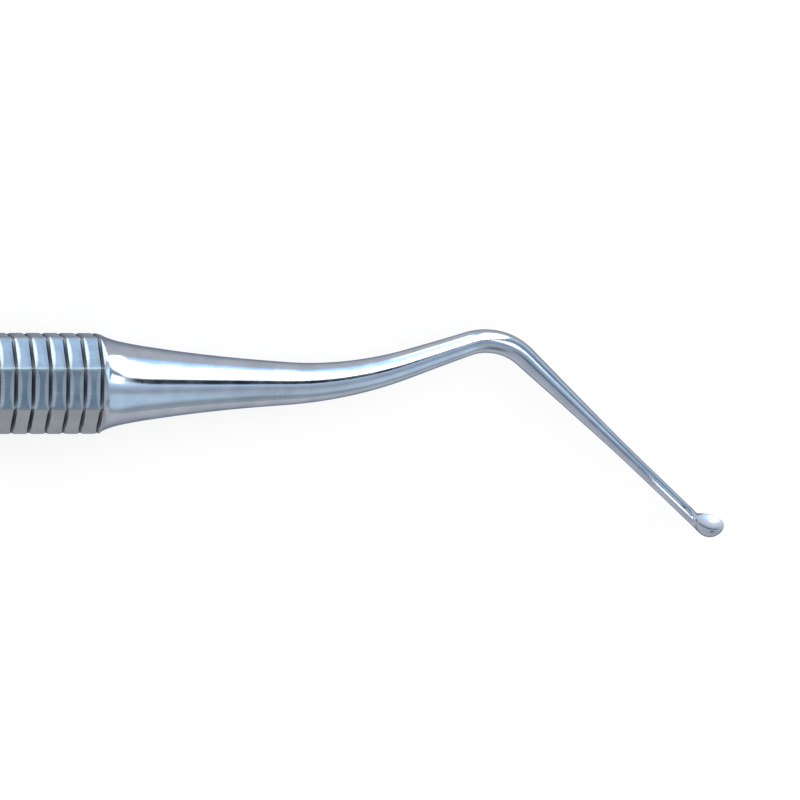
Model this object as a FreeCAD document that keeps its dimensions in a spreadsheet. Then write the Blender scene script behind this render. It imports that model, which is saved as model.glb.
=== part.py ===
import FreeCAD, Part
import math
import os
import Sketcher

# Double-ended spoon excavator, a one-piece hand instrument of stainless steel.
#
# The handle is an octagonal bar with cross-cut grooves near both of its ends. A turned flare runs from
# each end of the bar into a round tapering shank, which is bent twice in one plane and carries a small
# spoon whose face is tipped out of that plane. The second working end is the first one inverted through
# the middle of the handle, so the two spoons are a left and a right.
#
# Frame: +X along the handle, +Z up, shanks in a plane parallel to XY. The origin is the middle of the
# handle on the flat that the instrument lies on. All lengths are in millimetres and angles in degrees.

App = FreeCAD
V = App.Vector

SIZES = [
    ("handle_length", 93.0, "octagonal bar between the ends of its flats"),
    ("across_flats", 6.0, "octagonal bar, flat to opposite flat"),
    ("end_angle", 41.0, "slope of the turned cone that trims the corners at each end of the bar"),
    ("groove_pitch", 1.064, "spacing of the cross-cut grooves along the bar"),
    ("groove_count", 28, "grooves at each end of the bar"),
    ("groove_end_gap", 0.37, "middle of the last groove to the end of the flats"),
    ("groove_depth", 0.16, "depth of a groove below its flat"),
    ("groove_angle", 90.0, "angle between the two walls of a groove"),
    ("flare_length", 2.2, "flare from the bar's end to the start of the long taper"),
    ("flare_end_radius", 2.41, "radius of the shank where the flare ends"),
    ("taper_angle", 3.7, "half slope of the shank where its first bend begins"),
    ("straight_length", 11.63, "straight stretch of shank from the bar's end to the first bend"),
    ("first_bend_radius", 25.5, "centreline of the first bend"),
    ("first_bend_angle", 18.2, "turn of the first bend"),
    ("middle_length", 3.96, "straight stretch between the two bends"),
    ("second_bend_radius", 3.8, "centreline of the second bend"),
    ("second_bend_angle", 60.2, "turn of the second bend, the other way"),
    ("leg_taper_length", 8.6, "tapering stretch of the last leg"),
    ("leg_slim_length", 7.78, "slim stretch of the last leg, to the foot of the spoon's centre"),
    ("shank_radius_start", 1.36, "radius where the first bend begins"),
    ("shank_radius_middle", 0.89, "radius where the first bend ends"),
    ("knee_radius", 0.72, "radius all round the second bend"),
    ("leg_radius", 0.415, "radius of the last leg's slim stretch"),
    ("spoon_radius", 0.96, "round back of the spoon"),
    ("spoon_offset", 0.49, "centre of the spoon to the axis of the leg, in the shank plane"),
    ("spoon_rise", 0.48, "centre of the spoon above the shank plane"),
    ("face_turn", 6.5, "face of the spoon, turned in the shank plane from square to the handle"),
    ("face_tilt", 26.0, "face of the spoon, tipped out of the shank plane"),
    ("rim_width", 0.05, "narrow land round the spoon's dish"),
    ("dish_depth", 0.24, "hollow of the spoon below its rim"),
    ("run_out_angle", 50.0, "slope of the ground ramp from the face up on to the leg"),
]

# Straight-sided lengths that make up the first bend.
BEND_STEPS = 4

# Radius that lies outside the corners of the bar, as a share of its size across flats.
OUTSIDE_BAR = 0.6


def make_sheet(doc):
    """Writes every driving size into the sheet, with its name as alias and its meaning beside it."""
    sheet = doc.addObject("Spreadsheet::Sheet", "Sizes")
    for row, (name, value, meaning) in enumerate(SIZES, start=1):
        sheet.set(f"A{row}", name)
        sheet.set(f"B{row}", str(value))
        sheet.setAlias(f"B{row}", name)
        sheet.set(f"C{row}", meaning)
    doc.recompute()
    return sheet


def origin_plane(body, role):
    """Finds one of a body's own origin planes."""
    return next(plane for plane in body.Origin.OriginFeatures if plane.Role == role)


def flat_sketch(body, name, role):
    """Makes a sketch on one of the body's own origin planes."""
    sketch = body.newObject("Sketcher::SketchObject", name)
    sketch.AttachmentSupport = [(origin_plane(body, role), "")]
    sketch.MapMode = "FlatFace"
    return sketch


def driven(sketch, constraint, expression):
    """Adds a dimension to a sketch and binds it to an expression on the sheet."""
    index = sketch.addConstraint(constraint)
    sketch.setExpression(f"Constraints[{index}]", expression)
    return index


def place(sketch, geometry, end, expression_x, expression_y):
    """Dimensions a point of the sketch from the sketch's origin along both axes."""
    point = sketch.getPoint(geometry, end)
    driven(sketch, Sketcher.Constraint("DistanceX", -1, 1, geometry, end, point.x), expression_x)
    driven(sketch, Sketcher.Constraint("DistanceY", -1, 1, geometry, end, point.y), expression_y)


def add_line(sketch, start, end, construction=False):
    """Draws a straight line."""
    return sketch.addGeometry(Part.LineSegment(start, end), construction)


def add_arc(sketch, centre, start, end):
    """Draws the arc that runs counter-clockwise round its centre from start to end."""
    circle = Part.Circle(centre, V(0, 0, 1), centre.distanceToPoint(start))
    first = math.atan2(start.y - centre.y, start.x - centre.x)
    last = math.atan2(end.y - centre.y, end.x - centre.x)
    return sketch.addGeometry(Part.ArcOfCircle(circle, first, last), False)


def polygon(sketch, points):
    """Draws a closed run of lines, joined end to end, and returns the index of the first."""
    first = sketch.GeometryCount
    count = len(points)
    for i in range(count):
        sketch.addGeometry(Part.LineSegment(points[i], points[(i + 1) % count]), False)
    for i in range(count):
        joint = Sketcher.Constraint("Coincident", first + i, 2, first + (i + 1) % count, 1)
        sketch.addConstraint(joint)
    return first


def octagon_bar(body, size):
    """Pads half of the bar along +X from an octagon that has a flat at the bottom."""
    sketch = flat_sketch(body, "bar_section", "YZ_Plane")
    corner = size.across_flats / 2 / math.cos(math.pi / 8)
    turns = [math.pi / 8 + math.pi / 4 * i for i in range(8)]
    polygon(sketch, [V(corner * math.cos(a), corner * math.sin(a), 0) for a in turns])
    circle = sketch.addGeometry(Part.Circle(V(0, 0, 0), V(0, 0, 1), corner), True)
    sketch.addConstraint(Sketcher.Constraint("Coincident", circle, 3, -1, 1))
    for i in range(8):
        sketch.addConstraint(Sketcher.Constraint("PointOnObject", i, 1, circle))
    for i in range(1, 8):
        sketch.addConstraint(Sketcher.Constraint("Equal", 0, i))
    sketch.addConstraint(Sketcher.Constraint("Horizontal", 1))
    driven(sketch, Sketcher.Constraint("Diameter", circle, 2 * corner), "Sizes.across_flats / cos(22.5)")
    pad = body.newObject("PartDesign::Pad", "bar")
    pad.Profile = sketch
    pad.setExpression("Length", "Sizes.handle_length / 2")


def turned_end(body, size):
    """Turns the corners off the end of the bar, down to the circle inside its flats."""
    sketch = flat_sketch(body, "end_profile", "XZ_Plane")
    end = size.handle_length / 2
    inner = size.across_flats / 2
    outer = size.across_flats * OUTSIDE_BAR
    back = (outer - inner) / math.tan(math.radians(size.end_angle))
    first = polygon(sketch, [V(end, inner, 0), V(end, outer, 0), V(end - back, outer, 0)])
    sketch.addConstraint(Sketcher.Constraint("Vertical", first))
    sketch.addConstraint(Sketcher.Constraint("Horizontal", first + 1))
    driven(sketch, Sketcher.Constraint("DistanceX", -1, 1, first, 1, end), "Sizes.handle_length / 2")
    driven(sketch, Sketcher.Constraint("DistanceY", -1, 1, first, 1, inner), "Sizes.across_flats / 2")
    driven(sketch, Sketcher.Constraint("DistanceY", -1, 1, first, 2, outer),
           f"Sizes.across_flats * {OUTSIDE_BAR}")
    driven(sketch, Sketcher.Constraint("DistanceX", first + 1, 2, first + 1, 1, back),
           f"(Sizes.across_flats * {OUTSIDE_BAR} - Sizes.across_flats / 2) / tan(Sizes.end_angle)")
    cut = body.newObject("PartDesign::Groove", "turned_end")
    cut.Profile = sketch
    cut.ReferenceAxis = (sketch, ["H_Axis"])
    cut.Angle = 360


def grip_grooves(body, size):
    """Cuts V grooves square across each flat, all round and all along the gripping zone."""
    sketch = flat_sketch(body, "groove_profile", "XZ_Plane")
    middle = size.handle_length / 2 - size.groove_end_gap
    flat = size.across_flats / 2
    bottom = flat - size.groove_depth
    top = flat + size.groove_depth
    half = (top - bottom) * math.tan(math.radians(size.groove_angle / 2))
    first = polygon(sketch, [V(middle, bottom, 0), V(middle + half, top, 0), V(middle - half, top, 0)])
    sketch.addConstraint(Sketcher.Constraint("Horizontal", first + 1))
    sketch.addConstraint(Sketcher.Constraint("Equal", first, first + 2))
    place(sketch, first, 1, "Sizes.handle_length / 2 - Sizes.groove_end_gap",
          "Sizes.across_flats / 2 - Sizes.groove_depth")
    driven(sketch, Sketcher.Constraint("Angle", first, 1, first + 2, 2, math.radians(size.groove_angle)),
           "Sizes.groove_angle")
    driven(sketch, Sketcher.Constraint("DistanceY", first, 1, first, 2, top - bottom),
           "2 * Sizes.groove_depth")
    cut = body.newObject("PartDesign::Pocket", "groove")
    cut.Profile = sketch
    cut.Midplane = True
    cut.setExpression("Length", "Sizes.across_flats")
    around = body.newObject("PartDesign::PolarPattern", "groove_around")
    around.Axis = (origin_plane(body, "X_Axis"), [""])
    around.Angle = 360
    around.Occurrences = 8
    along = body.newObject("PartDesign::LinearPattern", "groove_along")
    along.Direction = (origin_plane(body, "X_Axis"), [""])
    along.Reversed = True
    along.setExpression("Length", "Sizes.groove_pitch * (Sizes.groove_count - 1)")
    along.setExpression("Occurrences", "Sizes.groove_count")
    grooves = body.newObject("PartDesign::MultiTransform", "grooves")
    grooves.Originals = [cut]
    grooves.Transformations = [around, along]
    body.Tip = grooves


def hollow_arc_centre(start, end, normal):
    """Centre of the arc from start to end whose centre lies along the normal at its end."""
    chord = start - end
    radius = chord.dot(chord) / (2 * chord.dot(normal))
    return end + normal * radius


def turned_flare(body, size):
    """Turns the flare and the start of the long taper: two hollow arcs, tangent to each other."""
    sketch = flat_sketch(body, "flare_profile", "XZ_Plane")
    begin = size.handle_length / 2
    root = V(begin, size.across_flats / 2, 0)
    joint = V(begin + size.flare_length, size.flare_end_radius, 0)
    end = V(begin + size.straight_length, size.shank_radius_start, 0)
    slope = math.radians(size.taper_angle)
    taper_centre = hollow_arc_centre(joint, end, V(math.sin(slope), math.cos(slope), 0))
    flare_centre = hollow_arc_centre(root, joint, (taper_centre - joint).normalize())
    face = add_line(sketch, V(begin, 0, 0), root)
    flare = add_arc(sketch, flare_centre, root, joint)
    taper = add_arc(sketch, taper_centre, joint, end)
    seat = add_line(sketch, end, V(end.x, 0, 0))
    axis = add_line(sketch, V(end.x, 0, 0), V(begin, 0, 0))
    tangent = add_line(sketch, end, end + V(math.cos(slope), -math.sin(slope), 0), True)
    for one, two in [(face, flare), (taper, seat), (seat, axis), (axis, face)]:
        sketch.addConstraint(Sketcher.Constraint("Coincident", one, 2, two, 1))
    sketch.addConstraint(Sketcher.Constraint("Tangent", flare, 2, taper, 1))
    sketch.addConstraint(Sketcher.Constraint("Tangent", taper, 2, tangent, 1))
    sketch.addConstraint(Sketcher.Constraint("Vertical", face))
    sketch.addConstraint(Sketcher.Constraint("Vertical", seat))
    sketch.addConstraint(Sketcher.Constraint("PointOnObject", face, 1, -1))
    sketch.addConstraint(Sketcher.Constraint("PointOnObject", axis, 1, -1))
    place(sketch, face, 2, "Sizes.handle_length / 2", "Sizes.across_flats / 2")
    place(sketch, flare, 2, "Sizes.handle_length / 2 + Sizes.flare_length", "Sizes.flare_end_radius")
    place(sketch, taper, 2, "Sizes.handle_length / 2 + Sizes.straight_length", "Sizes.shank_radius_start")
    sketch.addConstraint(Sketcher.Constraint("Distance", tangent, 1))
    driven(sketch, Sketcher.Constraint("Angle", tangent, 1, -1, 1, slope), "Sizes.taper_angle")
    turn = body.newObject("PartDesign::Revolution", "flare")
    turn.Profile = sketch
    turn.ReferenceAxis = (sketch, ["H_Axis"])
    turn.Angle = 360


def shank_path(body, size):
    """Draws the centreline of the shank from its first bend to the foot of the spoon's centre."""
    sketch = flat_sketch(body, "shank_path", "XY_Plane")
    rise = math.radians(size.first_bend_angle)
    drop = math.radians(size.first_bend_angle - size.second_bend_angle)
    up = V(math.cos(rise), math.sin(rise), 0)
    down = V(math.cos(drop), math.sin(drop), 0)
    begin = V(size.handle_length / 2 + size.straight_length, 0, 0)
    first_centre = begin + V(0, size.first_bend_radius, 0)
    first_end = first_centre + V(up.y, -up.x, 0) * size.first_bend_radius
    knee = first_end + up * size.middle_length
    second_centre = knee + V(up.y, -up.x, 0) * size.second_bend_radius
    leg = second_centre + V(-down.y, down.x, 0) * size.second_bend_radius
    slim = leg + down * size.leg_taper_length
    foot = slim + down * size.leg_slim_length
    first = add_arc(sketch, first_centre, begin, first_end)
    middle = add_line(sketch, first_end, knee)
    second = add_arc(sketch, second_centre, leg, knee)
    taper = add_line(sketch, leg, slim)
    last = add_line(sketch, slim, foot)
    reach = add_line(sketch, foot, foot + V(-down.y, down.x, 0) * size.spoon_offset, True)
    sketch.addConstraint(Sketcher.Constraint("Tangent", first, 2, middle, 1))
    sketch.addConstraint(Sketcher.Constraint("Tangent", middle, 2, second, 2))
    sketch.addConstraint(Sketcher.Constraint("Tangent", second, 1, taper, 1))
    sketch.addConstraint(Sketcher.Constraint("Tangent", taper, 2, last, 1))
    sketch.addConstraint(Sketcher.Constraint("Coincident", last, 2, reach, 1))
    sketch.addConstraint(Sketcher.Constraint("Perpendicular", last, reach))
    sketch.addConstraint(Sketcher.Constraint("PointOnObject", first, 1, -1))
    sketch.addConstraint(Sketcher.Constraint("Vertical", first, 1, first, 3))
    driven(sketch, Sketcher.Constraint("DistanceX", -1, 1, first, 1, begin.x),
           "Sizes.handle_length / 2 + Sizes.straight_length")
    driven(sketch, Sketcher.Constraint("Radius", first, size.first_bend_radius), "Sizes.first_bend_radius")
    driven(sketch, Sketcher.Constraint("Radius", second, size.second_bend_radius), "Sizes.second_bend_radius")
    driven(sketch, Sketcher.Constraint("Distance", middle, size.middle_length), "Sizes.middle_length")
    driven(sketch, Sketcher.Constraint("Distance", taper, size.leg_taper_length), "Sizes.leg_taper_length")
    driven(sketch, Sketcher.Constraint("Distance", last, size.leg_slim_length), "Sizes.leg_slim_length")
    driven(sketch, Sketcher.Constraint("Distance", reach, size.spoon_offset), "Sizes.spoon_offset")
    driven(sketch, Sketcher.Constraint("Angle", -1, 1, middle, 1, rise), "Sizes.first_bend_angle")
    driven(sketch, Sketcher.Constraint("Angle", taper, 1, -1, 1, -drop),
           "Sizes.second_bend_angle - Sizes.first_bend_angle")
    for kind, name in [("DistanceX", "spoon_x"), ("DistanceY", "spoon_y")]:
        index = sketch.addConstraint(Sketcher.Constraint(kind, -1, 1, reach, 2, 0))
        sketch.setDriving(index, False)
        sketch.renameConstraint(index, name)
    return sketch


def round_section(body, path, name, edge, at, radius):
    """Draws a circle square to the path, at a share (0 to 1) of the way along one of its edges."""
    sketch = body.newObject("Sketcher::SketchObject", name)
    sketch.AttachmentSupport = [(path, edge)]
    sketch.MapMode = "NormalToEdge"
    sketch.MapPathParameter = at
    circle = sketch.addGeometry(Part.Circle(V(0, 0, 0), V(0, 0, 1), 1), False)
    sketch.addConstraint(Sketcher.Constraint("Coincident", circle, 3, -1, 1))
    driven(sketch, Sketcher.Constraint("Radius", circle, 1), radius)
    return sketch


def loft(body, name, sections, ruled=False):
    """Skins a solid over round sections."""
    skin = body.newObject("PartDesign::AdditiveLoft", name)
    skin.Profile = sections[0]
    skin.Sections = [(section, [""]) for section in sections[1:]]
    skin.Ruled = ruled


def bent_shank(body, path):
    """Builds the shank along its path: bend, taper, tight bend of even thickness, taper, slim leg."""
    first_bend = []
    for i in range(BEND_STEPS + 1):
        share = i / BEND_STEPS
        radius = f"Sizes.shank_radius_start * {1 - share} + Sizes.shank_radius_middle * {share}"
        first_bend.append(round_section(body, path, f"section_bend_{i}", "Edge1", share, radius))
    middle = first_bend[-1]
    knee = round_section(body, path, "section_knee", "Edge3", 1, "Sizes.knee_radius")
    leg = round_section(body, path, "section_leg", "Edge3", 0, "Sizes.knee_radius")
    slim = round_section(body, path, "section_slim", "Edge4", 1, "Sizes.leg_radius")
    foot = round_section(body, path, "section_foot", "Edge5", 1, "Sizes.leg_radius")
    loft(body, "first_bend", first_bend, True)
    loft(body, "middle_taper", [middle, knee])
    bend = body.newObject("PartDesign::AdditivePipe", "second_bend")
    bend.Profile = knee
    bend.Spine = (path, ["Edge3"])
    loft(body, "leg_taper", [leg, slim])
    loft(body, "leg", [slim, foot])


def spoon(body, size):
    """Adds the spoon's round back, then grinds its face flat and dished in one cut.

    The cut is turned about an axis through the centre of the back, square to the face. Its outer wall
    is a cone, which leaves a ramp where the leg stands over the face.
    """
    centre = {
        "x": "shank_path.Constraints.spoon_x",
        "y": "shank_path.Constraints.spoon_y",
        "z": "Sizes.spoon_rise",
    }
    ball = body.newObject("PartDesign::AdditiveSphere", "spoon_back")
    ball.AttachmentSupport = [(origin_plane(body, "XY_Plane"), "")]
    ball.MapMode = "FlatFace"
    ball.setExpression("Radius", "Sizes.spoon_radius")
    sketch = flat_sketch(body, "face_profile", "XY_Plane")
    for axis, expression in centre.items():
        ball.setExpression(f"AttachmentOffset.Base.{axis}", expression)
        sketch.setExpression(f"AttachmentOffset.Base.{axis}", expression)
    sketch.setExpression("AttachmentOffset.Rotation.Yaw", "-Sizes.face_turn")
    sketch.setExpression("AttachmentOffset.Rotation.Roll", "Sizes.face_tilt")
    rim = size.spoon_radius - size.rim_width
    clear = size.spoon_radius + size.rim_width
    ramp = clear / math.tan(math.radians(size.run_out_angle))
    bottom = V(0, -size.dish_depth, 0)
    dish_centre = V(0, (rim * rim - size.dish_depth ** 2) / (2 * size.dish_depth), 0)
    dish = add_arc(sketch, dish_centre, bottom, V(rim, 0, 0))
    land = add_line(sketch, V(rim, 0, 0), V(clear, 0, 0))
    side = add_line(sketch, V(clear, 0, 0), V(clear + ramp, clear, 0))
    top = add_line(sketch, V(clear + ramp, clear, 0), V(0, clear, 0))
    axis = add_line(sketch, V(0, clear, 0), bottom)
    for one, two in [(dish, land), (land, side), (side, top), (top, axis), (axis, dish)]:
        sketch.addConstraint(Sketcher.Constraint("Coincident", one, 2, two, 1))
    sketch.addConstraint(Sketcher.Constraint("PointOnObject", dish, 3, -2))
    sketch.addConstraint(Sketcher.Constraint("PointOnObject", axis, 1, -2))
    sketch.addConstraint(Sketcher.Constraint("PointOnObject", axis, 2, -2))
    sketch.addConstraint(Sketcher.Constraint("PointOnObject", land, 1, -1))
    sketch.addConstraint(Sketcher.Constraint("PointOnObject", land, 2, -1))
    sketch.addConstraint(Sketcher.Constraint("Horizontal", top))
    outside = "Sizes.spoon_radius + Sizes.rim_width"
    driven(sketch, Sketcher.Constraint("DistanceX", -1, 1, land, 1, rim), "Sizes.spoon_radius - Sizes.rim_width")
    driven(sketch, Sketcher.Constraint("DistanceX", -1, 1, land, 2, clear), outside)
    driven(sketch, Sketcher.Constraint("DistanceY", -1, 1, top, 1, clear), outside)
    driven(sketch, Sketcher.Constraint("Angle", -1, 1, side, 1, math.radians(size.run_out_angle)),
           "Sizes.run_out_angle")
    driven(sketch, Sketcher.Constraint("DistanceY", dish, 1, -1, 1, size.dish_depth), "Sizes.dish_depth")
    face = body.newObject("PartDesign::Groove", "spoon_face")
    face.Profile = sketch
    face.ReferenceAxis = (sketch, ["V_Axis"])
    face.Angle = 360


def whole(doc, body):
    """Joins the working half to its own inversion through the middle of the handle."""
    mirror = doc.addObject("Part::Mirroring", "other_half")
    mirror.Source = body
    mirror.Normal = V(0, 0, 1)
    mirror.Placement = App.Placement(V(0, 0, 0), App.Rotation(V(0, 0, 1), 180))
    joined = doc.addObject("Part::Fuse", "excavator")
    joined.Base = body
    joined.Tool = mirror
    joined.Refine = True
    joined.Label = "excavator"
    joined.setExpression("Placement.Base.z", "Sizes.across_flats / 2")
    return joined


def check(doc, part):
    """Stops if any object failed, or if the part isn't one valid solid."""
    for obj in doc.Objects:
        if "Invalid" in obj.State or "Error" in obj.State:
            raise RuntimeError(f"{obj.Label} didn't build: {obj.State}")
    if part.Shape.isNull() or not part.Shape.isValid():
        raise RuntimeError(f"{part.Label} has no valid shape")
    if len(part.Shape.Solids) != 1:
        raise RuntimeError(f"{part.Label} has {len(part.Shape.Solids)} solids")


def main():
    doc = App.newDocument("excavator_model")
    sheet = make_sheet(doc)
    body = doc.addObject("PartDesign::Body", "half")
    octagon_bar(body, sheet)
    turned_end(body, sheet)
    turned_flare(body, sheet)
    path = shank_path(body, sheet)
    doc.recompute()
    bent_shank(body, path)
    spoon(body, sheet)
    doc.recompute()
    before = body.Shape.Volume
    grip_grooves(body, sheet)
    doc.recompute()
    if body.Shape.Volume >= before:
        raise RuntimeError("the grooves cut nothing")
    part = whole(doc, body)
    doc.recompute()
    check(doc, part)
    os.makedirs("parts", exist_ok=True)
    part.Shape.exportStep(f"parts/{part.Label}.step")
    print(f"{part.Label}: volume {part.Shape.Volume:.1f} mm3, {len(part.Shape.Faces)} faces")


main()
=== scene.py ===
"""A double-ended dental excavator in satin stainless steel, lying on one flat of its octagonal handle.

Its shape is worked out in millimetres in the part's own frame, and becomes metres in the mesh. The studio
round it is in metres.
"""

import math

import bpy
import numpy as np
from mathutils import Euler, Matrix, Vector


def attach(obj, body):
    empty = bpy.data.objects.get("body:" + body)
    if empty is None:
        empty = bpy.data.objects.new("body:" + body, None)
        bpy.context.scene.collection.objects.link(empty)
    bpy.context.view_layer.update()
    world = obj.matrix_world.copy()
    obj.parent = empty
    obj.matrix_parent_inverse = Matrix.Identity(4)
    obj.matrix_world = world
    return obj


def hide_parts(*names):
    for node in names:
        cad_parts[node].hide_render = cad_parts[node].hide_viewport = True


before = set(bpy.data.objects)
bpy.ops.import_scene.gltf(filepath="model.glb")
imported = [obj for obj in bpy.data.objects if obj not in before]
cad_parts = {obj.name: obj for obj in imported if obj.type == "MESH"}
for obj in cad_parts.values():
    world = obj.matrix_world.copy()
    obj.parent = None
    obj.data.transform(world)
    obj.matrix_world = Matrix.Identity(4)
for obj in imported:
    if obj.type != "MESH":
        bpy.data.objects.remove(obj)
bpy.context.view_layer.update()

MILLIMETRE = 0.001
UPRIGHT = np.array([0.0, 0.0, 1.0])
SHARP_EDGE = math.radians(32)

# The bar. All sizes of the instrument are in millimetres.
ACROSS_FLATS = 6.0
AXIS_HEIGHT = ACROSS_FLATS / 2
HALF_HANDLE = 46.5
HALF_FLAT = math.radians(22.5)
EDGE_ROUND = 0.08
PLAIN_ROWS = [0.0, 4.0, 8.0, 12.0, 15.5]
TURNED_SLOPE = math.tan(math.radians(41.0))
CREASE_GAP = 0.01

# The grooves: a shallow bevel on each side of a narrow core.
GROOVE_PITCH = 1.064
GROOVE_COUNT = 28
GROOVE_END_GAP = 0.37
GROOVE_DEPTH = 0.20
BEVEL_HALF_WIDTH = 0.36
BEVEL_SHARE = 0.33
CORE_HALF_WIDTH = 0.125
CORE_FULLNESS = 0.8
CUTTER_RADIUS = 5.9
GROOVE_STRAY = 0.013
GROOVE_UNEVEN = 0.07
GROOVE_SEED = 11

# The shank's centreline: a straight run, a slow bend up, a run, the knee, and the leg down to the spoon.
STRAIGHT = 11.63
SLOW_BEND_RADIUS = 25.5
SLOW_BEND = math.radians(18.2)
MIDDLE_RUN = 3.96
KNEE_RADIUS = 3.8
KNEE_BEND = math.radians(60.2)
LEG = 16.38
RUNS = [STRAIGHT, SLOW_BEND_RADIUS * SLOW_BEND, MIDDLE_RUN, KNEE_RADIUS * KNEE_BEND, LEG]
CORNERS = np.cumsum([0.0] + RUNS)
HEADINGS = np.cumsum([0.0, 0.0, SLOW_BEND, 0.0, -KNEE_BEND, 0.0])
LINE_STEPS = 8000

# The shank's diameter against the distance from the end of the flats.
SHANK_DIAMETERS = [
    (0.0, 6.0), (0.22, 5.80), (0.72, 5.44), (1.72, 4.98), (3.74, 4.33), (7.53, 3.40), (12.1, 2.65),
    (16.7, 2.10), (21.4, 1.66), (23.7, 1.52), (26.1, 1.47), (31.7, 1.13), (36.8, 0.85), (38.5, 0.83),
    (50.0, 0.83),
]

# Rows of the shank: where they lie in the flare, and how many there are in each stretch after it.
FLARE_ROWS = [0.06, 0.14, 0.22, 0.35, 0.5, 0.72, 0.95, 1.22, 1.5, 1.8, 2.2, 2.7, 3.3]
FLARE_END = 3.9
LEG_LAST_STRETCH = 8.0
STRETCH_ROWS = [14, 18, 8, 26, 16, 14]

# The spoon: a ball at the leg's end, cut by a face with a dish, a flat land and a run-out up to the leg.
SPOON_RADIUS = 0.96
SPOON_OFFSET = 0.49
SPOON_RISE = 0.48
FACE_DIRECTION = np.array([0.102, 0.893, 0.438])
DISH_RADIUS = 0.90
DISH_DEPTH = 0.24
FACE_RADIUS = 0.97
RUN_OUT_SLOPE = math.tan(math.radians(50.0))
RUN_OUT_FOOT = 0.08
NECK_START = 1.9
NECK_BLEND = 0.20

# The distance at which the leg's own radius is read from the shank's diameters.
SLIM_PLACE = 45.0

# Rows of the spoon, as shares of the dish's radius or as numbers of rows.
DISH_ROWS = np.array([1.0, 0.96, 0.9, 0.82, 0.73, 0.64, 0.55, 0.46, 0.37, 0.28, 0.19, 0.1])
LAND_ROWS = 3
BACK_ROWS = 36

# How the curves over the spoon's back bow: along the leg and out from it, on the face's side and behind.
BOW_RUN = (-1.5, 0.6)
BOW_REACH = (0.45, 1.6)

# How closely the rim and the back are found.
RIM_SEARCH = (0.3, 2.3)
HALVINGS = 30
DRAW_STEPS = 8
PROBE = 1e-4


# Lines and columns.

def smooth_curve(points, at):
    """A cubic through the given points, each with the slope of the parabola through its neighbours."""
    known, values = np.array(points, float).T
    slope = np.gradient(values, known)
    i = np.clip(np.searchsorted(known, at, side="right") - 1, 0, len(known) - 2)
    width = known[i + 1] - known[i]
    t = (at - known[i]) / width
    from_ends = (2 * t ** 3 - 3 * t ** 2 + 1) * values[i] + (3 * t ** 2 - 2 * t ** 3) * values[i + 1]
    from_slopes = (t ** 3 - 2 * t ** 2 + t) * slope[i] + (t ** 3 - t ** 2) * slope[i + 1]
    return from_ends + width * from_slopes


def shank_line(at):
    """Place and heading of the centreline at distances from the end of the flats.

    The heading stays in a straight run and changes evenly in a bend. The place is the running sum of the
    heading's cosine and sine over fine steps.
    """
    fine = np.linspace(0.0, CORNERS[-1], LINE_STEPS + 1)
    step = fine[1] - fine[0]
    angle = np.interp(fine, CORNERS, HEADINGS)
    middle = (angle[1:] + angle[:-1]) / 2
    x = HALF_HANDLE + np.concatenate([[0.0], np.cumsum(np.cos(middle))]) * step
    y = np.concatenate([[0.0], np.cumsum(np.sin(middle))]) * step
    return np.interp(at, fine, x), np.interp(at, fine, y), np.interp(at, fine, angle)


def octagon_columns():
    """Each column's flat, share of the flat's half width, lean from its middle, angle and radius.

    The lean is the arc tangent of the share times the tangent of half a flat's angle, and the radius is
    the flat's distance over the cosine of the lean. The corner's point is drawn in by the rounded edge.
    """
    edge = 1 - EDGE_ROUND / AXIS_HEIGHT
    share = np.array([0.0, 0.3, 0.6, 0.85, edge, 1.0, -edge, -0.85, -0.6, -0.3])
    lean = np.arctan(share * math.tan(HALF_FLAT))
    radius = AXIS_HEIGHT / np.cos(lean)
    radius[share == 1.0] -= EDGE_ROUND * (1 / math.cos(HALF_FLAT) - 1)
    flat = np.arange(8)[:, None] + (share < 0)
    angle = lean + flat * 2 * HALF_FLAT
    return [column.ravel() for column in np.broadcast_arrays(flat % 8, share, lean, angle, radius)]


FLAT, SHARE, LEAN, ANGLE, BAR_RADIUS = octagon_columns()
COLUMNS = len(ANGLE)
ACROSS = np.cos(ANGLE)
UP = np.sin(ANGLE)


# The handle.

def groove_rows(chance):
    """Place along the bar, radius and share of the core, for the rows across every groove.

    A groove is the mark of a wheel pushed into each flat. Its depth falls from the flat's middle as the
    square of the place across over twice the wheel's radius, and its width as the square root of the
    depth. It strays a little and is a little uneven from flat to flat, but not on the corners.
    """
    # Rows across a groove, as shares of the bevel's half width or of the core's.
    inner = 0.6
    of_bevel = np.array([-1.15, -1.0, -0.78, -inner, 0, 0, 0, 0, 0, inner, 0.78, 1.0, 1.15])[:, None]
    of_core = np.array([0, 0, 0, 0, -1.0, -0.5652, 0, 0.5652, 1.0, 0, 0, 0, 0])[:, None]
    middle = HALF_HANDLE - GROOVE_END_GAP - np.arange(GROOVE_COUNT)[::-1] * GROOVE_PITCH
    stray = chance.normal(0.0, GROOVE_STRAY, (GROOVE_COUNT, 8))[:, FLAT]
    heavy = 1 + chance.normal(0.0, GROOVE_UNEVEN, (GROOVE_COUNT, 8))[:, FLAT]
    stray[:, SHARE == 1.0] = 0.0
    heavy[:, SHARE == 1.0] = 1.0
    across = SHARE * AXIS_HEIGHT * math.tan(HALF_FLAT)
    depth = (GROOVE_DEPTH * heavy - across ** 2 / (2 * CUTTER_RADIUS))[:, None]
    bevel = np.maximum(BEVEL_HALF_WIDTH * np.sqrt(depth / GROOVE_DEPTH), CORE_HALF_WIDTH / inner)
    aside = of_core * CORE_HALF_WIDTH + of_bevel * bevel
    place = (middle[:, None] + stray)[:, None] + aside
    shoulder = np.clip(1 - np.abs(aside) / bevel, 0, None)
    core = np.clip(1 - (aside / CORE_HALF_WIDTH) ** 2, 0, None) ** CORE_FULLNESS
    inset = (BEVEL_SHARE * shoulder + (1 - BEVEL_SHARE) * core) * depth
    radius = BAR_RADIUS - inset / np.cos(LEAN)
    return [part.reshape(-1, COLUMNS) for part in (place, radius, core)]


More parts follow.
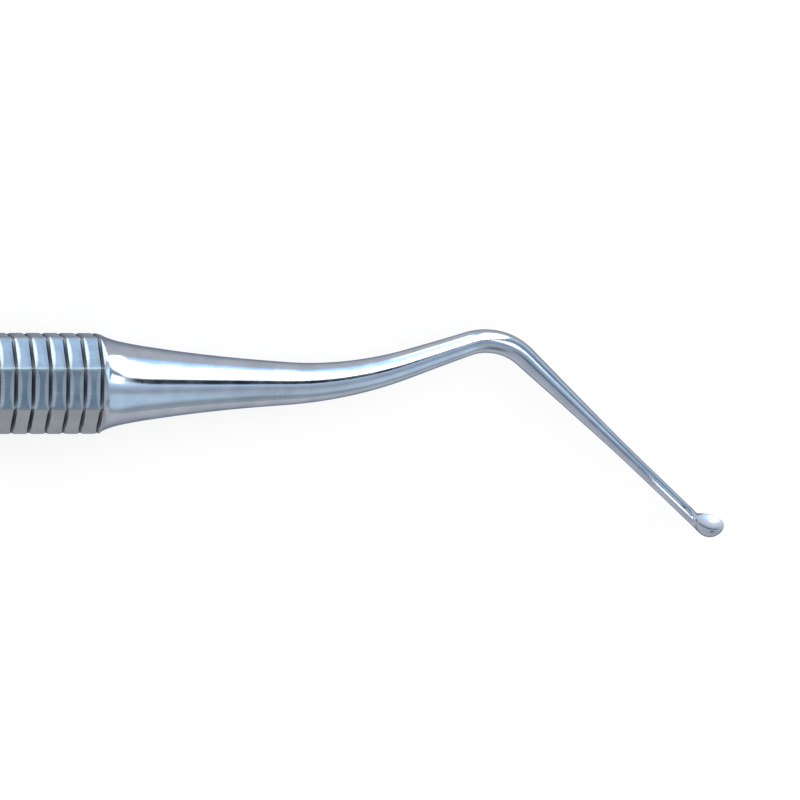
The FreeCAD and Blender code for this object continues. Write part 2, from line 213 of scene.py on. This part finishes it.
def handle_rows():
    """Rows of the bar from its middle to the crease where the turned cone begins, with their cores."""
    place, radius, core = groove_rows(np.random.default_rng(GROOVE_SEED))
    plain = np.zeros((len(PLAIN_ROWS), COLUMNS))
    crease = HALF_HANDLE - (BAR_RADIUS - AXIS_HEIGHT) / TURNED_SLOPE
    grooved = np.minimum(place, crease - CREASE_GAP)
    place = np.concatenate([plain + np.array(PLAIN_ROWS)[:, None], grooved, crease[None]])
    radius = np.concatenate([plain + BAR_RADIUS, radius, BAR_RADIUS[None]])
    core = np.concatenate([plain, core, plain[:1]])
    return np.stack([place, radius * ACROSS, AXIS_HEIGHT + radius * UP], axis=-1), core


# The shank.

def shank_rows():
    """Round sections across the centreline, closer together in the flare, the knee and near the spoon."""
    stops = [FLARE_END, *CORNERS[1:5], CORNERS[5] - LEG_LAST_STRETCH, CORNERS[5] - NECK_START]
    stretches = [np.linspace(start, end, rows, endpoint=False)
                 for start, end, rows in zip(stops[:-1], stops[1:], STRETCH_ROWS)]
    at = np.concatenate([FLARE_ROWS, *stretches, stops[-1:]])
    x, y, heading = (value[:, None] for value in shank_line(at))
    radius = smooth_curve(SHANK_DIAMETERS, at)[:, None] / 2
    return np.stack([
        x - np.sin(heading) * radius * ACROSS,
        y + np.cos(heading) * radius * ACROSS,
        AXIS_HEIGHT + radius * UP], axis=-1)


# The spoon.

def leg_end():
    """The middle of the leg's end, the way it points, and the level way across it."""
    x, y, heading = (value[0] for value in shank_line(CORNERS[-1:]))
    along = np.array([math.cos(heading), math.sin(heading), 0.0])
    return np.array([x, y, AXIS_HEIGHT]), along, np.array([-along[1], along[0], 0.0])


def square_to(direction, normal):
    """The part of a direction that is square to a normal, at length one."""
    rest = direction - direction.dot(normal) * normal
    return rest / np.linalg.norm(rest)


def outer_distance(points):
    """Distance from the leg's rod and the spoon's ball, melted together over a small blend."""
    from_foot = points - FOOT
    run = np.minimum(from_foot @ ALONG, 0.0)
    leg = np.linalg.norm(from_foot - run[..., None] * ALONG, axis=-1) - LEG_RADIUS
    ball = np.linalg.norm(points - CENTRE, axis=-1) - SPOON_RADIUS
    share = np.clip(0.5 + 0.5 * (ball - leg) / NECK_BLEND, 0, 1)
    return ball * (1 - share) + leg * share - NECK_BLEND * share * (1 - share)


def face_height(distance):
    """Height of the ground face over its plane: a dish, a flat land, and a ramp with a round foot."""
    dish = -DISH_DEPTH * np.clip(1 - (distance / DISH_RADIUS) ** 2, 0, None)
    beyond = np.clip(distance - FACE_RADIUS, 0, None)
    return dish + RUN_OUT_SLOPE * (np.sqrt(beyond ** 2 + RUN_OUT_FOOT ** 2) - RUN_OUT_FOOT)


def on_face(distance):
    """Points of the ground face at distances from the spoon's centre along each column's ray."""
    return CENTRE + distance[..., None] * RAY + face_height(distance)[..., None] * NORMAL


def rim_distance():
    """How far the face runs along each ray before it leaves the steel, found by halving."""
    near = np.full(COLUMNS, RIM_SEARCH[0])
    far = np.full(COLUMNS, RIM_SEARCH[1])
    for _ in range(HALVINGS):
        half = (near + far) / 2
        inside = outer_distance(on_face(half)) < 0
        near, far = np.where(inside, half, near), np.where(inside, far, half)
    return near


def back_rows(rim):
    """Rows from the leg over the spoon's back to its rim.

    Each column is a bowed curve from the leg to the rim. Its points are then drawn on to the outside,
    each step by the distance to it over its slope squared, along the slope.
    """
    radial = np.cos(TURN)[:, None] * TOP + np.sin(TURN)[:, None] * SPAN
    start = FOOT - NECK_START * ALONG + LEG_RADIUS * radial
    low = (1 - np.cos(TURN)) / 2
    run = BOW_RUN[0] * (1 - low) + BOW_RUN[1] * low
    reach = BOW_REACH[0] + (BOW_REACH[1] - BOW_REACH[0]) * low ** 2
    bow = FOOT + run[:, None] * ALONG + reach[:, None] * radial
    w = np.linspace(0, 1, BACK_ROWS + 2)[1:-1, None, None]
    back = (1 - w) ** 2 * start + 2 * w * (1 - w) * bow + w ** 2 * rim
    for _ in range(DRAW_STEPS):
        value = outer_distance(back)
        slope = np.stack([outer_distance(back + PROBE * unit) - value for unit in np.eye(3)], axis=-1) / PROBE
        back = back - (value / (slope ** 2).sum(-1))[..., None] * slope
    return back


def face_rows(reach):
    """Rows from the rim over the land and down the dish, and the dish's deepest point."""
    share = np.linspace(0, 1, LAND_ROWS + 2)[1:-1, None]
    land = on_face(reach + (DISH_RADIUS - reach) * share)
    dish = on_face(DISH_RADIUS * DISH_ROWS[:, None] * np.ones(COLUMNS))
    return np.concatenate([land, dish]), CENTRE + face_height(0.0) * NORMAL


LEG_RADIUS = smooth_curve(SHANK_DIAMETERS, SLIM_PLACE) / 2
FOOT, ALONG, SIDE = leg_end()
CENTRE = FOOT + SPOON_OFFSET * SIDE + SPOON_RISE * UPRIGHT
NORMAL = FACE_DIRECTION / np.linalg.norm(FACE_DIRECTION)
TOWARD_TIP = square_to(ALONG, NORMAL)
TOP = square_to(NORMAL, ALONG)
ROLL = math.atan2(TOP[2], TOP.dot(SIDE))
SPAN = math.cos(ROLL) * UPRIGHT - math.sin(ROLL) * SIDE
TURN = ANGLE - ROLL
RAY = np.sin(TURN)[:, None] * SPAN - np.cos(TURN)[:, None] * TOWARD_TIP


# The whole instrument.

def half_instrument():
    """One half as rows by columns of points from the middle of the bar to the dish, with its markings.

    The markings say how far in a groove's core a point lies, whether it is turned and polished rather
    than bar, and whether it lies on the spoon's ground face.
    """
    bar, core = handle_rows()
    reach = rim_distance()
    rim = on_face(reach)
    face, pole = face_rows(reach)
    grid = np.concatenate([bar, shank_rows(), back_rows(rim), rim[None], face])
    groove, turned, ground = np.zeros((3, *grid.shape[:2]))
    groove[:len(bar)] = core
    turned[len(bar) - 1] = 0.5
    turned[len(bar):] = 1
    ground[-len(face):] = 1
    return grid, {"groove": groove, "turned": turned, "ground": ground}, pole


def both_halves():
    """Points, faces and markings of the whole.

    The second half is the first one taken through the middle point of the bar. That turns it inside out,
    so its faces run the other way round. Its first ring is the first half's, counted from half a turn on.
    """
    grid, half_marks, pole = half_instrument()
    through = 2 * AXIS_HEIGHT * UPRIGHT
    half = np.concatenate([grid.reshape(-1, 3), pole[None]])
    points = np.concatenate([half, through - half[COLUMNS:]])
    first = np.arange(len(grid) * COLUMNS).reshape(-1, COLUMNS)
    shared_ring = np.roll(first[:1], COLUMNS // 2, axis=1)
    second = np.concatenate([shared_ring, len(half) + first[:-1]])
    faces = []
    for ring, tip, order in ((first, len(half) - 1, 1), (second, len(points) - 1, -1)):
        a, b = ring[:-1], ring[1:]
        quads = np.stack([a, np.roll(a, -1, 1), np.roll(b, -1, 1), b], axis=-1).reshape(-1, 4)
        fan = np.stack([ring[-1], np.roll(ring[-1], -1), np.full(COLUMNS, tip)], axis=-1)
        faces += quads[:, ::order].tolist() + fan[:, ::order].tolist()
    marks = {}
    for label, mark in half_marks.items():
        half_mark = np.append(mark, mark[-1, 0])
        marks[label] = np.concatenate([half_mark, half_mark[COLUMNS:]])
    return points, faces, marks


def make_piece(name, points, faces, marks):
    """A mesh object in metres, smooth but for its sharp edges, with its markings on its points."""
    mesh = bpy.data.meshes.new(name)
    mesh.from_pydata((points * MILLIMETRE).tolist(), [], faces)
    for label, values in marks.items():
        mark = mesh.attributes.new(label, "FLOAT", "POINT")
        mark.data.foreach_set("value", values.astype(np.float32))
    mesh.shade_smooth()
    mesh.set_sharp_from_angle(angle=SHARP_EDGE)
    piece = bpy.data.objects.new(name, mesh)
    bpy.context.scene.collection.objects.link(piece)
    return piece


# Shader maths.

class Socket:
    """An output socket that can stand in a sum or product."""

    def __init__(self, bench, link):
        self.bench = bench
        self.link = link

    def _with(self, operation, first, second):
        return self.bench.node("ShaderNodeMath", {"operation": operation}, {0: first, 1: second})

    def __add__(self, other):
        return self._with("ADD", self, other)

    def __radd__(self, other):
        return self._with("ADD", other, self)

    def __sub__(self, other):
        return self._with("SUBTRACT", self, other)

    def __rsub__(self, other):
        return self._with("SUBTRACT", other, self)

    def __mul__(self, other):
        return self._with("MULTIPLY", self, other)

    def __rmul__(self, other):
        return self._with("MULTIPLY", other, self)


class Bench:
    """Where a finish is mixed: one node tree and the one way of adding a node to it."""

    def __init__(self, tree):
        self.tree = tree
        self.tree.nodes.clear()

    def node(self, kind, settings=None, inputs=None, output=0):
        """Adds a node, sets it, fills or links its sockets and gives the wanted output or outputs."""
        made = self.tree.nodes.new(kind)
        for name, value in (settings or {}).items():
            if name == "stops":
                self._set_stops(made.color_ramp, value)
            else:
                setattr(made, name, value)
        for name, value in (inputs or {}).items():
            if isinstance(value, Socket):
                self.tree.links.new(value.link, made.inputs[name])
            else:
                made.inputs[name].default_value = value
        if isinstance(output, tuple):
            return [Socket(self, made.outputs[name]) for name in output]
        return Socket(self, made.outputs[output]) if len(made.outputs) else None

    @staticmethod
    def _set_stops(ramp, stops):
        while len(ramp.elements) > 1:
            ramp.elements.remove(ramp.elements[-1])
        ramp.elements[0].position, ramp.elements[0].color = stops[0]
        for place, colour in stops[1:]:
            ramp.elements.new(place).color = colour

    def between(self, value, low, high, to_low=0.0, to_high=1.0):
        """A smooth step from one level to another while the value goes from low to high."""
        return self.node("ShaderNodeMapRange", {"interpolation_type": "SMOOTHSTEP"},
                         {"Value": value, "From Min": low, "From Max": high,
                          "To Min": to_low, "To Max": to_high})

    def blend(self, share, one, other):
        """A colour between two colours."""
        return self.node("ShaderNodeMix", {"data_type": "RGBA"}, {"Factor": share, 6: one, 7: other}, 2)

    def mark(self, label):
        """A marking of the mesh's points."""
        return self.node("ShaderNodeAttribute", {"attribute_name": label}, output="Fac")

    def noise(self, place, scale, detail):
        return self.node("ShaderNodeTexNoise", {}, {"Vector": place, "Scale": scale, "Detail": detail})


def new_material(name):
    material = bpy.data.materials.new(name)
    material.use_nodes = True
    return material, Bench(material.node_tree)


# Finishes. The waves are per metre, along the handle and across it.

GRINDING_WAVES = (260.0, 6500.0, 6500.0)
TURNING_WAVES = (5200.0, 900.0, 900.0)
CLOUD_WAVES = 900.0
BROAD_WAVES = 260.0
BAR_STEEL = ((0.25, 0.265, 0.285, 1), (0.33, 0.35, 0.375, 1))
SHANK_STEEL = ((0.34, 0.37, 0.425, 1), (0.43, 0.46, 0.51, 1))
# Painted reflection: a lighter, bluer colour for the spoon's ground face, standing in for its bright
# reflection.
GROUND_PAINTED_REFLECTION = (0.50, 0.53, 0.62, 1)
# Painted shade: a near-black colour for the grooves' cores, standing in for the shade in the recess.
CORE_PAINTED_SHADE = (0.09, 0.095, 0.10, 1)
EDGE_TINT = (0.30, 0.34, 0.42, 1)

# How rough the polished steel is, and what each finish adds to it.
POLISHED = 0.09
ROUGH_BAR = 0.08
ROUGH_CLOUDS = 0.05
ROUGH_MARKS = 0.04
ROUGH_CORE = 0.2
ROUGH_GROUND = 0.16

# How high the marks and the clouds stand, in metres.
MARK_HEIGHT = 0.00002
CLOUD_HEIGHT = 0.00001


def stainless_steel():
    """Cloudy ground flats on the bar, fine turning marks round the shank, rougher cores in the grooves
    darkened with painted shade, and a lighter, bluer spoon face as painted reflection.
    """
    material, bench = new_material("satin_stainless")
    place = bench.node("ShaderNodeTexCoord", output="Object")
    groove, turned, ground = bench.mark("groove"), bench.mark("turned"), bench.mark("ground")

    lengthwise = bench.node("ShaderNodeMapping", {}, {"Vector": place, "Scale": GRINDING_WAVES})
    roundwise = bench.node("ShaderNodeMapping", {}, {"Vector": place, "Scale": TURNING_WAVES})
    grinding = bench.noise(lengthwise, 1.0, 3.0)
    turning = bench.noise(roundwise, 1.0, 3.0)
    cloud = bench.noise(place, CLOUD_WAVES, 4.0)
    broad = bench.noise(place, BROAD_WAVES, 2.0)

    marks = grinding * (1 - turned) + turning * turned * 0.4
    mottle = bench.between(cloud, 0.35, 0.68)
    core = bench.between(groove, 0.25, 0.85)
    patchy = mottle * 0.5 + broad * 0.25
    colour = bench.blend(turned, bench.blend(patchy, *BAR_STEEL), bench.blend(patchy, *SHANK_STEEL))
    # Painted reflection: the spoon's ground face is made lighter and bluer.
    colour = bench.blend(ground, colour, GROUND_PAINTED_REFLECTION)
    # Painted shade: the grooves' cores are darkened almost to black.
    colour = bench.blend(core * 0.9, colour, CORE_PAINTED_SHADE)
    roughness = (POLISHED + (1 - turned) * ROUGH_BAR + mottle * ROUGH_CLOUDS + marks * ROUGH_MARKS
                 + core * ROUGH_CORE + ground * ROUGH_GROUND)
    fine = bench.node("ShaderNodeBump", {}, {"Strength": 0.25, "Distance": MARK_HEIGHT, "Height": marks})
    bump = bench.node("ShaderNodeBump", {}, {
        "Strength": 0.5, "Distance": CLOUD_HEIGHT, "Height": cloud * (1 - turned), "Normal": fine})
    surface = bench.node("ShaderNodeBsdfPrincipled", {}, {
        "Base Color": colour, "Metallic": 1.0, "Roughness": roughness, "Normal": bump,
        "Specular Tint": EDGE_TINT})
    bench.node("ShaderNodeOutputMaterial", {}, {"Surface": surface})
    return material


FLOOR_WHITE = (0.93, 0.93, 0.93, 1)
FLOOR_GLOW = 0.8


def floor_paint():
    """Plain white. Seen straight or in the steel it mostly glows, so that the soft shadow on it is pale."""
    material, bench = new_material("white_floor")
    straight, mirrored, through = bench.node("ShaderNodeLightPath", output=(
        "Is Camera Ray", "Is Glossy Ray", "Is Transmission Ray"))
    paint = bench.node("ShaderNodeBsdfPrincipled", {}, {
        "Base Color": FLOOR_WHITE, "Roughness": 0.7, "Specular IOR Level": 0.1})
    glow = bench.node("ShaderNodeEmission", {}, {"Color": (1, 1, 1, 1), "Strength": 1.0})
    share = (straight + mirrored + through) * FLOOR_GLOW
    surface = bench.node("ShaderNodeMixShader", {}, {0: share, 1: paint, 2: glow})
    bench.node("ShaderNodeOutputMaterial", {}, {"Surface": surface})
    return material


# The studio. Its colours are meant for this strength, at which plain white is white to the camera.

WALL_STRENGTH = 2.5
PLAIN_WHITE = (0.4, 0.4, 0.4, 1)
PLAIN_FILL = (0.26, 0.26, 0.26, 1)

# Colours round the handle's axis, by degrees from the level +Y side over the top to the level -Y side.
WALLS = [
    (-180, (0.36, 0.40, 0.44, 1)), (-2, (0.35, 0.48, 0.78, 1)), (8, (0.48, 0.70, 0.96, 1)),
    (20, (0.63, 0.92, 0.97, 1)), (34, (0.70, 0.98, 0.97, 1)), (48, (0.56, 0.88, 0.97, 1)),
    (58, (0.52, 0.78, 0.96, 1)), (70, (0.60, 0.82, 0.96, 1)), (80, (0.78, 0.90, 0.96, 1)),
    (90, (0.42, 0.53, 0.65, 1)), (100, (0.30, 0.36, 0.43, 1)), (110, (0.26, 0.29, 0.33, 1)),
    (122, (0.33, 0.36, 0.39, 1)), (133, (0.24, 0.27, 0.29, 1)), (150, (0.20, 0.23, 0.23, 1)),
    (180, (0.27, 0.30, 0.32, 1)),
]

# Patches of the studio seen in the steel: direction, degrees to the full colour and to none, colour.
PATCHES = [
    ((-0.05, 0.42, 0.91), 12, 22, (0.93, 0.98, 1.0, 1)),
    ((-0.40, 0.90, 0.12), 19, 27, (1.5, 1.6, 1.65, 1)),
    ((0.68, 0.52, 0.52), 19, 29, (0.18, 0.23, 0.29, 1)),
    ((0.62, -0.60, 0.50), 12, 25, (0.40, 0.50, 0.58, 1)),
    ((0.17, -0.11, 0.98), 6, 10, (0.12, 0.19, 0.26, 1)),
    ((0.03, -0.44, 0.90), 3, 9, (0.07, 0.10, 0.13, 1)),
    ((0.12, -0.91, 0.40), 6, 13, (0.12, 0.13, 0.15, 1)),
    ((-0.45, -0.80, 0.30), 15, 35, (0.34, 0.35, 0.38, 1)),
]

# The dark gap that draws the line along the shank: its middle and half widths, round the axis in degrees
# and along it as part of the direction.
GAP_TURN = 76
GAP_HALF_TURN = 13
GAP_ALONG = 0.375
GAP_HALF_LENGTH = 0.19
GAP_EDGE = (0.75, 1.1)
GAP_COLOUR = (0.008, 0.014, 0.018, 1)


def studio_light():
    """A bright wall over the +Y side, a dim ceiling, grey elsewhere, some patches and the dark gap.

    The gap is an ellipse: it fades where the sum of the squares of both distances from its middle, in its
    half widths, is about one. Straight sight finds plain white, and diffuse light is a plain fill.
    """
    world = bpy.data.worlds.new("studio")
    bpy.context.scene.world = world
    world.use_nodes = True
    bench = Bench(world.node_tree)
    direction = bench.node("ShaderNodeTexCoord", output="Generated")
    along, side, up = bench.node("ShaderNodeSeparateXYZ", {}, {"Vector": direction}, ("X", "Y", "Z"))
    turn = bench.node("ShaderNodeMath", {"operation": "ARCTAN2"}, {0: up, 1: side}) * (180 / math.pi)

    stops = [((degrees + 180) / 360, colour) for degrees, colour in WALLS]
    seen = bench.node("ShaderNodeValToRGB", {"stops": stops}, {"Fac": turn * (1 / 360) + 0.5})
    for centre, full, none, colour in PATCHES:
        nearness = bench.node("ShaderNodeVectorMath", {"operation": "DOT_PRODUCT"},
                              {0: direction, 1: Vector(centre).normalized()}, "Value")
        share = bench.between(nearness, math.cos(math.radians(none)), math.cos(math.radians(full)))
        seen = bench.blend(share, seen, colour)
    across = (turn - GAP_TURN) * (1 / GAP_HALF_TURN)
    lengthwise = (along - GAP_ALONG) * (1 / GAP_HALF_LENGTH)
    gap = bench.between(across * across + lengthwise * lengthwise, *GAP_EDGE, 1.0, 0.0)
    seen = bench.blend(gap, seen, GAP_COLOUR)
    straight, diffuse = bench.node("ShaderNodeLightPath", output=("Is Camera Ray", "Is Diffuse Ray"))
    seen = bench.blend(straight, seen, PLAIN_WHITE)
    seen = bench.blend(diffuse, seen, PLAIN_FILL)
    light = bench.node("ShaderNodeBackground", {}, {"Color": seen, "Strength": WALL_STRENGTH})
    bench.node("ShaderNodeOutputWorld", {}, {"Surface": light})


# Lamps that show only in the steel: name, place, aim, size, radiance, and degrees of spin.
# Two cards make the highlight on the flare, and a strip makes the streak near the spoon.
LAMPS = [
    ("flare_card", (0.0822, 0.0400, 0.0290), (0.047, 0.0, 0.005), (0.025, 0.074), 4.0, 0),
    ("flare_top", (0.0935, 0.0140, 0.0450), (0.047, 0.0, 0.0055), (0.016, 0.022), 2.8, 0),
    ("tip_strip", (0.0845, -0.0128, 0.0163), (0.0836, -0.0074, 0.0034), (0.0034, 0.0060), 2.8, -42),
]
SUN_ENERGY = 1.6
SUN_WIDTH = math.radians(70)
SUN_LEAN = (math.radians(-20), math.radians(10), 0)


def hang_lamp(name, place, aim, size, radiance, spin):
    """A rectangular lamp that faces a point. Its power is its radiance times pi times its area."""
    lamp = bpy.data.lights.new(name, "AREA")
    lamp.shape = "RECTANGLE"
    lamp.size, lamp.size_y = size
    lamp.energy = radiance * math.pi * size[0] * size[1]
    hung = bpy.data.objects.new(name, lamp)
    facing = (Vector(aim) - Vector(place)).to_track_quat("-Z", "Y").to_matrix()
    hung.rotation_euler = (facing @ Matrix.Rotation(math.radians(spin), 3, "Z")).to_euler()
    hung.location = place
    hung.visible_camera = False
    hung.visible_diffuse = False
    bpy.context.scene.collection.objects.link(hung)


def hang_sun():
    """A broad soft sun, which the steel doesn't show, for the shadow on the floor."""
    sun = bpy.data.lights.new("soft_sun", "SUN")
    sun.energy = SUN_ENERGY
    sun.angle = SUN_WIDTH
    lit = bpy.data.objects.new("soft_sun", sun)
    lit.rotation_euler = SUN_LEAN
    lit.visible_glossy = False
    bpy.context.scene.collection.objects.link(lit)


FLOOR_REACH = 1.2


def lay_floor():
    """A level square floor under the instrument."""
    mesh = bpy.data.meshes.new("floor")
    corners = [(FLOOR_REACH * x, FLOOR_REACH * y, 0.0) for x, y in ((-1, -1), (1, -1), (1, 1), (-1, 1))]
    mesh.from_pydata(corners, [], [(0, 1, 2, 3)])
    floor = bpy.data.objects.new("floor", mesh)
    floor.data.materials.append(floor_paint())
    bpy.context.scene.collection.objects.link(floor)


CAMERA_PLACE = Vector((0.00047, 0.03054, 0.27295))
CAMERA_DEGREES = (-6.859, -13.379, 1.594)
CAMERA_LENS = 200.0
CAMERA_NEAR = 0.01


def set_camera():
    """The photograph's view: a long lens that looks down on the right-hand end from the left."""
    camera = bpy.data.objects.new("camera", bpy.data.cameras.new("camera"))
    camera.data.lens = CAMERA_LENS
    camera.data.clip_start = CAMERA_NEAR
    bpy.context.scene.collection.objects.link(camera)
    angles = Euler([math.radians(degrees) for degrees in CAMERA_DEGREES])
    camera.matrix_world = Matrix.LocRotScale(CAMERA_PLACE, angles, None)
    bpy.context.scene.camera = camera


instrument = make_piece("instrument", *both_halves())
instrument.data.materials.append(stainless_steel())
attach(instrument, "root")
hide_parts("excavator")

lay_floor()
studio_light()
for lamp_facts in LAMPS:
    hang_lamp(*lamp_facts)
hang_sun()
set_camera()
bpy.context.scene.view_settings.view_transform = "Standard"
